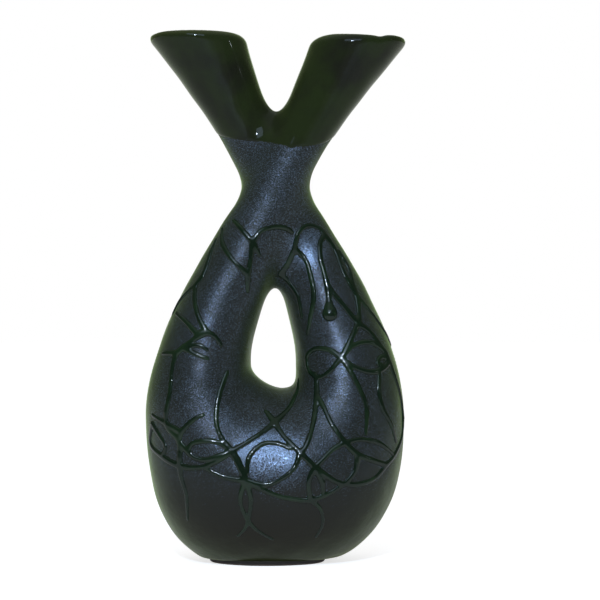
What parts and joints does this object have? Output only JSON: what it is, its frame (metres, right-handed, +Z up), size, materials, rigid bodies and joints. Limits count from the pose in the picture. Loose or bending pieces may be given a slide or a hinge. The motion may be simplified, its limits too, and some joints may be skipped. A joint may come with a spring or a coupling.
{
  "type": "twin-mouth ceramic vase",
  "caption": "Hollow looped flower vase: flared mouths, a pinched waist where its limbs cross, a drop-shaped opening below and raised glaze lines.",
  "frame": {"origin": "under the middle of the vase's width and depth, on the surface that it stands on", "axes": "+Z up, -Y towards the front face where the right mouth's neck passes before the left one's, +X to the right seen from the front"},
  "size_m": [0.148, 0.0931, 0.3],
  "materials": {
    "matte_body": "satin gunmetal glaze with a fine sparkle",
    "dipped_glaze": "very glossy green-black dipped glaze",
    "trailed_glaze": "very glossy dark green raised glaze",
    "bare_foot": "dry unglazed clay"
  },
  "bodies": {
    "root": {"belly": "matte_body", "left_limb": "matte_body", "right_limb": "matte_body", "waist": "matte_body", "left_mouth": "dipped_glaze", "right_mouth": "dipped_glaze", "foot_ring": "bare_foot", "front_trails": "trailed_glaze", "back_trails": "trailed_glaze"}
  },
  "joints": []
}
